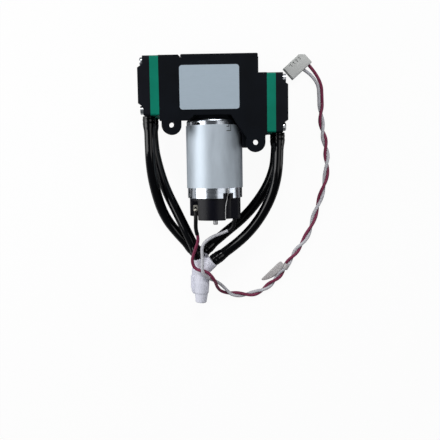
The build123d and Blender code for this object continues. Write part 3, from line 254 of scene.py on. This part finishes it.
finish_of_slot = {
    "casting_black": casing_black,
    "plate_green": plate_green,
    "cover_black": cover_black,
    "screw_zinc": screw_zinc,
    "label_silver": label_foil,
    "seal_black": seal_black,
    "valve_pale": valve_amber,
    "rod_plastic": rod_moulding,
    "bearing_steel": steel_bright,
    "alloy": alloy,
    "can_nickel": can_nickel,
    "sleeve_zinc": sleeve_zinc,
    "magnet_grey": magnet_grey,
    "core_steel": core_steel,
    "copper": copper,
    "bronze": bronze,
    "brush_carbon": carbon,
    "cap_black": cap_black,
    "terminal_tin": terminal_tin,
    "hose_black": hose_black,
    "fitting_milky": fitting_milky,
    "shrink_black": shrink_black,
    "lead_red": wire_red,
    "lead_white": wire_white,
    "lead_mixed": wire_white,
    "plug_grey": plug_grey,
    "tape_white": tape_grey,
}
for subpart in frame["record"]["subparts"]:
    solid = nodes[subpart["node"]]
    solid.data.materials.clear()
    solid.data.materials.append(finish_of_slot[subpart["material_slot"]])


# Floor and light, with places in metres
def lay_floor(drop=0.0002, glow_strength=1.03, glow_share=0.92):
    """Pale floor that the camera sees as nearly even white, with a soft trace of shadow."""
    bpy.ops.mesh.primitive_plane_add(size=6.0, location=(0, 0, -drop))
    floor = bpy.context.object
    floor.name = "floor"
    finish, tree, shader = new_finish("floor_white", colour=(0.55, 0.55, 0.55), roughness=0.8)
    glow = tree.nodes.new("ShaderNodeEmission")
    glow.inputs["Color"].default_value = (1, 1, 1, 1)
    glow.inputs["Strength"].default_value = glow_strength
    mix = tree.nodes.new("ShaderNodeMixShader")
    ray = tree.nodes.new("ShaderNodeLightPath")
    share = tree.nodes.new("ShaderNodeMath")
    share.operation = "MULTIPLY"
    share.inputs[1].default_value = glow_share
    tree.links.new(ray.outputs["Is Camera Ray"], share.inputs[0])
    tree.links.new(share.outputs["Value"], mix.inputs["Fac"])
    tree.links.new(shader.outputs["BSDF"], mix.inputs[1])
    tree.links.new(glow.outputs["Emission"], mix.inputs[2])
    tree.links.new(mix.outputs["Shader"], tree.nodes["Material Output"].inputs["Surface"])
    floor.data.materials.append(finish)


def light_room(at_left=0.14, at_right=0.05, seen=0.8):
    """Even room light that falls off from the window side, at the left, to the right."""
    world = bpy.context.scene.world or bpy.data.worlds.new("studio")
    bpy.context.scene.world = world
    world.use_nodes = True
    tree = world.node_tree
    room = tree.nodes["Background"]
    room.inputs["Color"].default_value = (0.9, 0.95, 1.0, 1.0)
    coords = tree.nodes.new("ShaderNodeTexCoord")
    parts = tree.nodes.new("ShaderNodeSeparateXYZ")
    spread = tree.nodes.new("ShaderNodeMapRange")
    spread.inputs["From Min"].default_value = -1.0
    spread.inputs["From Max"].default_value = 1.0
    spread.inputs["To Min"].default_value = at_left
    spread.inputs["To Max"].default_value = at_right
    tree.links.new(coords.outputs["Generated"], parts.inputs["Vector"])
    tree.links.new(parts.outputs["X"], spread.inputs["Value"])
    ray = tree.nodes.new("ShaderNodeLightPath")
    pale = tree.nodes.new("ShaderNodeMath")
    pale.operation = "MULTIPLY_ADD"
    pale.inputs[1].default_value = seen
    tree.links.new(ray.outputs["Is Camera Ray"], pale.inputs[0])
    tree.links.new(spread.outputs["Result"], pale.inputs[2])
    tree.links.new(pale.outputs["Value"], room.inputs["Strength"])


def add_softbox(name, place, aim, size, power):
    bpy.ops.object.light_add(type="AREA", location=place)
    lamp = bpy.context.object
    lamp.name = name
    lamp.data.shape = "RECTANGLE"
    lamp.data.size = size[0]
    lamp.data.size_y = size[1]
    lamp.data.energy = power
    lamp.rotation_euler = (Vector(aim) - Vector(place)).to_track_quat("-Z", "Y").to_euler()


lay_floor()
light_room()
add_softbox("window_left", place=(-0.52, 0.0, 0.32), aim=(0, -0.04, 0.02), size=(0.36, 0.5), power=2.4)
add_softbox("overhead", place=(0.05, 0.5, 0.6), aim=(0, -0.04, 0.02), size=(0.5, 0.2), power=3.0)
add_softbox("fill", place=(0.24, -0.12, 0.5), aim=(0, -0.05, 0.02), size=(0.3, 0.3), power=0.38)
add_softbox("strip_right", place=(0.5, -0.1, 0.12), aim=(0, -0.06, 0.02), size=(0.1, 0.3), power=0.2)


# Lines, tubes and turned surfaces
def cord_line(name, points, resolution):
    """Smooth line on a route's points."""
    data = bpy.data.curves.new(name, "CURVE")
    data.dimensions = "3D"
    data.resolution_u = resolution
    spline = data.splines.new("NURBS")
    spline.points.add(len(points) - 1)
    for spot, point in zip(spline.points, points):
        spot.co = (*[value * MM for value in point], 1.0)
    spline.order_u = 3
    spline.use_endpoint_u = True
    line = bpy.data.objects.new(name, data)
    bpy.context.collection.objects.link(line)
    return line


def line_points(line):
    """The smooth line's own points, in metres, with no thickness."""
    bpy.context.view_layer.update()
    depsgraph = bpy.context.evaluated_depsgraph_get()
    flat = bpy.data.meshes.new_from_object(line.evaluated_get(depsgraph))
    spots = [vertex.co.copy() for vertex in flat.vertices]
    bpy.data.meshes.remove(flat)
    return spots


def route_points(name, points, resolution):
    """Points of the smooth line on a route, in metres, with the line itself taken away again."""
    line = cord_line(name, points, resolution)
    spots = line_points(line)
    bpy.data.objects.remove(line)
    return spots


def run_length(spots):
    return sum((b - a).length for a, b in zip(spots, spots[1:]))


def round_tube(name, spots, thick, roundness):
    """Tube of a thickness through spots that are in metres."""
    data = bpy.data.curves.new(name, "CURVE")
    data.dimensions = "3D"
    data.bevel_depth = thick / 2 * MM
    data.bevel_resolution = roundness
    data.use_fill_caps = True
    spline = data.splines.new("POLY")
    spline.points.add(len(spots) - 1)
    for point, spot in zip(spline.points, spots):
        point.co = (*spot, 1.0)
    tube = bpy.data.objects.new(name, data)
    bpy.context.collection.objects.link(tube)
    select_only(tube)
    bpy.ops.object.convert(target="MESH")
    return bpy.context.object


def turned(name, foot, direction, profile, steps=40, closed=False):
    """Surface turned round a line: profile holds pairs of distance along it and radius.

    A closed one has a face over its last ring.
    """
    along = Vector(direction).normalized()
    foot = Vector(foot)
    at, ring_r = profile[0]
    deselect()
    bpy.ops.mesh.primitive_circle_add(
        vertices=steps,
        radius=ring_r * MM,
        location=(foot + along * at) * MM,
        rotation=along.to_track_quat("Z", "Y").to_euler(),
    )
    piece = bpy.context.object
    piece.name = name
    bpy.ops.object.mode_set(mode="EDIT")
    bpy.ops.mesh.select_all(action="SELECT")
    for distance, radius in profile[1:]:
        bpy.ops.mesh.extrude_region_move(TRANSFORM_OT_translate={"value": along * (distance - at) * MM})
        bpy.ops.transform.resize(value=[radius / ring_r] * 3, center_override=(foot + along * distance) * MM)
        at, ring_r = distance, radius
    if closed:
        bpy.ops.mesh.edge_face_add()
    bpy.ops.mesh.select_all(action="SELECT")
    bpy.ops.mesh.normals_make_consistent(inside=False)
    bpy.ops.object.mode_set(mode="OBJECT")
    apply_place()
    piece.data.shade_smooth()
    return piece


# Milky fittings: each lies flat at its own height and joins two hoses to one trunk with a socket
def add_run(start, end, start_r, end_r, height):
    """Round run between two places (x, y) at a height, left selected."""
    start = Vector((*start, height))
    end = Vector((*end, height))
    line = end - start
    deselect()
    bpy.ops.mesh.primitive_cone_add(
        vertices=64,
        radius1=start_r * MM,
        radius2=end_r * MM,
        depth=line.length * MM,
        location=(start + end) / 2 * MM,
        rotation=line.to_track_quat("Z", "Y").to_euler(),
    )
    return bpy.context.object


def make_fitting(name, node, height, runs, socket, socket_r=2.5):
    """Runs (start, end, start radius, end radius) grown into one smooth moulding, then bored."""
    parts = [add_run(*run, height) for run in runs]
    deselect()
    for part in parts:
        part.select_set(True)
    bpy.context.view_layer.objects.active = parts[0]
    bpy.ops.object.join()
    fitting = bpy.context.object
    fitting.name = name
    apply_place()
    apply_modifier(fitting, "REMESH", mode="VOXEL", voxel_size=0.34 * MM)
    apply_modifier(fitting, "SMOOTH", factor=0.5, iterations=9)
    bore = add_run(*socket, socket_r, socket_r, height)
    apply_place()
    apply_modifier(fitting, "BOOLEAN", operation="DIFFERENCE", object=bore, solver="EXACT")
    bpy.data.objects.remove(bore)
    select_only(fitting)
    bpy.ops.object.shade_smooth_by_angle(angle=0.7)
    dress(fitting, fitting_milky, "fitting_milky", node)


inlet_runs = [
    ((-11.5, -110.5), (-9.2, -118.2), 4.5, 4.9),
    ((-2.5, -112.5), (-10.4, -119.0), 4.5, 5.2),
    ((-7.7, -112.4), (-10.4, -121.0), 4.5, 5.4),
    ((-9.8, -117.6), (-10.5, -128.0), 5.2, 5.3),
    ((-10.5, -127.9), (-10.7, -134.9), 5.3, 4.95),
    ((-10.7, -134.0), (-11.3, -141.8), 4.6, 3.9),
]
outlet_runs = [
    ((-14.1, -108.1), (-10.6, -115.4), 4.5, 4.6),
    ((-9.4, -107.1), (-12.4, -116.4), 4.5, 4.6),
    ((-11.8, -114.6), (-13.2, -127.0), 4.6, 4.7),
    ((-14.2, -124.0), (-14.3, -133.6), 4.4, 4.5),
    ((-14.3, -133.5), (-13.6, -136.6), 4.5, 3.7),
    ((-13.2, -119.0), (-13.1, -135.6), 4.65, 4.65),
    ((-12.0, -132.0), (-12.0, -140.0), 3.9, 3.9),
]
inlet_socket = ((-10.7, -131.8), (-11.25, -143.0))
outlet_socket = ((-12.0, -130.0), (-12.0, -141.5))
make_fitting("wye_inlet_smooth", "wye_inlet", inlet_z, inlet_runs, inlet_socket)
make_fitting("wye_outlet_smooth", "wye_outlet", outlet_z, outlet_runs, outlet_socket)

# Hoses from the heads to the fittings
left_upper = [
    (-barb_x, left_barb_y, upper_barb_z), (-barb_x, -30.5, upper_barb_z), (-42.8, -47.0, 24.2),
    (-40.9, -63.0, 17.8), (-36.6, -80.0, 10.0), (-27.5, -94.0, outlet_z), (-14.2, -108.0, outlet_z),
]
left_lower = [
    (-barb_x, left_barb_y, lower_barb_z), (-barb_x, -30.8, lower_barb_z), (-39.6, -47.0, 8.4),
    (-34.7, -62.5, 8.2), (-27.4, -77.2, 10.4), (-18.7, -95.2, inlet_z), (-11.6, -110.3, inlet_z),
]
right_upper = [
    (barb_x, right_barb_y, upper_barb_z), (barb_x, -43.5, upper_barb_z), (40.6, -60.5, 24.6),
    (34.2, -76.5, 21.0), (24.0, -91.5, 17.2), (10.5, -103.8, inlet_z), (-2.4, -112.4, inlet_z),
]
right_lower = [
    (barb_x, right_barb_y, lower_barb_z), (barb_x, -42.8, lower_barb_z), (38.5, -57.2, 8.0),
    (31.3, -69.5, 6.4), (20.4, -82.7, 5.2), (3.6, -95.9, outlet_z), (-9.3, -107.0, outlet_z),
]
hoses = {
    "hose_left_upper": (left_upper, "wye_outlet_smooth"),
    "hose_left_lower": (left_lower, "wye_inlet_smooth"),
    "hose_right_upper": (right_upper, "wye_inlet_smooth"),
    "hose_right_lower": (right_lower, "wye_outlet_smooth"),
}


def make_hose(node, points):
    hose = cord_line(node + "_line", points, resolution=12)
    length = run_length(line_points(hose))
    hose.data.bevel_depth = hose_d / 2 * MM
    hose.data.bevel_resolution = 8
    hose.data.use_fill_caps = True
    dress(hose, hose_black, "hose_black", node)


# Hose ends, stretched over their barbs: a lip, a flare that fades out, and a ring over each crest
cuff_l = 10.6
cuff_steps = 30
cuff_bore_r = 2.1
cuff_flare = 0.65
cuff_fade = 5.4
lip_l = 0.15
lip_drop = 0.2
lip_reach = 0.02
barb_crests = (2.2, 4.8)
crest_h = 0.16
crest_l = 0.55


def cuff_radius(distance):
    """Hose wall over the barb: flared, with a soft ring over each crest, then back to the hose."""
    fading = max(0.0, distance - cuff_fade) / (cuff_l - cuff_fade)
    flare = cuff_flare * (1 + cos(pi * fading)) / 2
    rings = sum(crest_h * exp(-(((distance - crest) / crest_l) ** 2)) for crest in barb_crests)
    return hose_d / 2 + flare + rings


def cuff_profile():
    """Face round the barb, a small lip, then the wall."""
    profile = [(-lip_reach, cuff_bore_r), (-lip_reach, hose_d / 2 + cuff_flare - lip_drop)]
    for step in range(cuff_steps + 1):
        distance = lip_l + (cuff_l - lip_l) * step / cuff_steps
        profile.append((distance, cuff_radius(distance)))
    return profile


def make_cuffs(node, points):
    """Cuff at each end of a hose, along its first and its last run."""
    for end, here, onward in (("head", points[0], points[1]), ("wye", points[-1], points[-2])):
        direction = Vector(onward) - Vector(here)
        cuff = turned(f"{node}_cuff_{end}", here, direction, cuff_profile())
        dress(cuff, hose_black, "hose_black")


for node, (points, fitting) in hoses.items():
    make_hose(node, points)
    make_cuffs(node, points)

# Leads: each runs alone from its terminal, then both go along the pair's route to the plug
red_route = [
    (-13, -77.5, 29.1), (-13, -81.5, 29.1), (-13.4, -88.8, 26.6), (-11.5, -96.0, 23.6),
    (-14.3, -103.4, 21.6), (-17.0, -111.0, 20.6), (-14.6, -117.4, 20.6), (-6.0, -118.6, 21.0),
    (-1.2, -125.2, 18.4), (0.2, -132.6, 8.6), (4.0, -137.6, 1.6), (9.3, -138.4, 1.2),
]
white_route = [
    (13, -77.5, 29.1), (13, -81.5, 29.1), (12.2, -87.9, 27.4), (5.2, -91.4, 24.9),
    (-3.0, -94.4, 23.2), (-9.8, -100.0, 22.4), (-9.3, -109.5, 22.8), (-9.8, -118.2, 23.6),
    (-6.8, -123.2, 19.8), (0.4, -127.4, 12.4), (5.0, -133.0, 4.6), (9.3, -138.0, 3.4),
]
pair_route = [
    (9.3, -138.2, pair_z), (25.5, -141.3, pair_z), (43.6, -128.3, pair_z), (54.2, -112.0, pair_z),
    (66.0, -96.4, pair_z), (72.0, -77.5, pair_z), (78.8, -56.5, pair_z), (79.2, -37.5, pair_z),
    (75.0, -18.5, pair_z), (74.6, -1.5, 2.4), (73.9, 12.1, 2.9), (65.4, 21.7, 2.9),
]
pair_spots = route_points("pair_line", pair_route, resolution=40)

# Tape flag: a strip that hangs off the pair from the band round it, each end given by its two corners
flag_root = (Vector((46.1, -114.1, 4.1)), Vector((48.6, -118.1, 4.4)))
flag_tip = (Vector((31.3, -129.0, 1.2)), Vector((34.4, -129.3, 1.0)))
flag_belly = Vector((0.9, -1.8, 0.0))
flag_thick = 0.25
band_profile = [(-1.9, 2.1), (-1.9, 2.24), (-1.0, 2.28), (0.6, 2.26), (1.9, 2.24), (1.9, 2.1)]


def make_flag():
    """Strip between its tip and its root, with a belly in the edge that is nearer to the pair."""
    deselect()
    bpy.ops.mesh.primitive_grid_add(x_subdivisions=6, y_subdivisions=1, size=1.0)
    flag = bpy.context.object
    flag.name = "tape_strip"
    for vertex in flag.data.vertices:
        share = vertex.co.x + 0.5
        edge = 0 if vertex.co.y > 0 else 1
        spot = flag_tip[edge].lerp(flag_root[edge], share) + flag_belly * edge * sin(pi * share)
        vertex.co = spot * MM
    apply_modifier(flag, "SUBSURF", levels=2, render_levels=2)
    apply_modifier(flag, "SOLIDIFY", thickness=flag_thick * MM, offset=0.0)
    flag.data.shade_smooth()
    dress(flag, tape_grey, "tape_white", "tape_flag")


def make_band():
    """Tape round the pair, where the flag's root is nearest to it."""
    here = min(pair_spots, key=lambda spot: (spot - flag_root[1] * MM).length)
    onward = pair_spots[pair_spots.index(here) + 1]
    band = turned("tape_band", here / MM, onward - here, band_profile)
    dress(band, tape_grey, "tape_white")


make_flag()
make_band()

# Twist of the pair: distances along it at which the white lead lies on top, then a last part of a turn
white_on_top = [0, 25, 46, 68, 98, 129, 152]
last_turn = 0.75
last_turn_l = 25
twist_r = 1.12
plug_spread = 0.15
plug_stretch = 16.0


def turns_at(distance):
    """Whole turns of the pair up to a distance along it, from the places where white is on top."""
    for count, (low, high) in enumerate(zip(white_on_top, white_on_top[1:])):
        if distance <= high:
            return count + (distance - low) / (high - low)
    last = len(white_on_top) - 1
    return last + min(last_turn, (distance - white_on_top[-1]) / last_turn_l)


def twisted_spots(phase, plug_splay):
    """One lead's spots along the pair, in metres, splayed sideways as it comes to the plug."""
    spots = []
    walked = 0.0
    total = run_length(pair_spots)
    for here, onward in zip(pair_spots, pair_spots[1:]):
        walked += (onward - here).length
        along = (onward - here).normalized()
        beside = Vector((0, 0, 1)).cross(along).normalized()
        over = along.cross(beside)
        angle = 2 * pi * (turns_at(walked / MM) + phase)
        near_plug = max(0.0, 1 - (total - walked) / (plug_stretch * MM))
        spread = twist_r + plug_spread * near_plug
        sideways = (over * cos(angle) - beside * sin(angle)) * spread
        spots.append(onward + (sideways + beside * plug_splay * near_plug**2) * MM)
    return spots


def make_strand(name, route, phase, plug_splay, finish, slot, node):
    """Lead from its terminal to the plug."""
    spots = route_points(name + "_lead", route, resolution=16) + twisted_spots(phase, plug_splay)
    strand = round_tube(name, spots, lead_d, roundness=4)
    bpy.ops.object.shade_smooth()
    dress(strand, finish, slot, node, "lead_pair")


make_strand(
    "white_strand", white_route, phase=0.0, plug_splay=2.2,
    finish=wire_white, slot="lead_white", node="white_lead",
)
make_strand(
    "red_strand", red_route, phase=0.5, plug_splay=0.0,
    finish=wire_red, slot="lead_red", node="red_lead",
)


# Trim on the round of the motor
def on_round(x, y, radius):
    """Point above the shaft on a cylinder round it, in metres."""
    return Vector((x, y, shaft_z + (radius**2 - x**2) ** 0.5)) * MM


def wrap(corners, radius, step=0.5):
    """Spots along straight runs between corners (x, y), laid on the round at a radius."""
    spots = []
    for (xa, ya), (xb, yb) in zip(corners, corners[1:]):
        count = max(1, round(((xb - xa) ** 2 + (yb - ya) ** 2) ** 0.5 / step))
        for turn in range(count):
            share = turn / count
            spots.append(on_round(xa + (xb - xa) * share, ya + (yb - ya) * share, radius))
    spots.append(on_round(*corners[-1], radius))
    return spots


def ribbon(name, spots, thick, finish, slot):
    """Thin round line through spots that are in metres."""
    dress(round_tube(name, spots, thick, roundness=2), finish, slot)


# Sleeve's dovetail seam: the joint line, and the lock at its front end
lock_neck = [(10.0, -17.9), (9.9, -20.7), (8.4, -20.7)]
lock_head = [(11.2, -19.0), (11.1, -23.5), (8.4, -23.5)]
seam = [(9.9, -23.8), (9.9, -60.6)]
lock_d = 0.5
lock_sink = 0.05
seam_d = 0.16
seam_sink = 0.075
ribbon("lock_neck", wrap(lock_neck, sleeve_r - lock_sink), lock_d, shrink_black, "shrink_black")
ribbon("seam_lock", wrap(lock_head, sleeve_r - lock_sink), lock_d, shrink_black, "shrink_black")
ribbon("seam_line", wrap(seam, sleeve_r - seam_sink), seam_d, sleeve_zinc, "sleeve_zinc")

# Crimps of the can over the end cap
crimp_r = can_r - 0.02


def make_crimp(name, low, high, thick, columns=14, edge=0.135):
    """Tab on the can's round, from corner (x, y) to corner (x, y), bevelled at its edges."""
    deselect()
    bpy.ops.mesh.primitive_grid_add(x_subdivisions=columns, y_subdivisions=1, size=1.0)
    tab = bpy.context.object
    tab.name = name
    apply_modifier(tab, "SOLIDIFY", thickness=1.0, offset=1.0)
    for vertex in tab.data.vertices:
        x = low[0] + (high[0] - low[0]) * (vertex.co.x + 0.5)
        y = low[1] + (high[1] - low[1]) * (vertex.co.y + 0.5)
        vertex.co = on_round(x, y, crimp_r + thick * vertex.co.z)
    apply_modifier(tab, "BEVEL", width=edge * MM, segments=2, limit_method="ANGLE")
    dress(tab, can_nickel, "can_nickel")


make_crimp("crimp_right", low=(9.3, -63.8), high=(11.6, -60.9), thick=0.55)
make_crimp("crimp_left", low=(-11.6, -66.9), high=(-9.3, -64.4), thick=0.35)

# Strap over the can's rim and the end cap
strap_top = [(9.2, -60.2), (8.8, -64.4)]
strap_tail = [(8.5, -66.3), (8.2, -68.3), (7.6, -70.6), (7.2, -73.2), (7.0, -76.5), (7.0, -81.1)]
strap_end = Vector((7.0, -81.4, 34.4))
strap_d = 0.5
strap_top_r = can_r + 0.2
strap_tail_r = cap_r + 0.12
strap = wrap(strap_top, strap_top_r) + wrap(strap_tail, strap_tail_r) + [strap_end * MM]
ribbon("cap_strap", strap, strap_d, strap_tin, "terminal_tin")

# Solder round the eye of the left terminal
left_eye = (-13.0, -75.4, 29.2)
solder_profile = [(0.0, 1.0), (0.35, 0.95), (0.7, 0.6), (0.8, 0.02)]
solder = turned("solder_left", left_eye, (0, 0, 1), solder_profile, steps=20, closed=True)
dress(solder, terminal_tin, "terminal_tin")
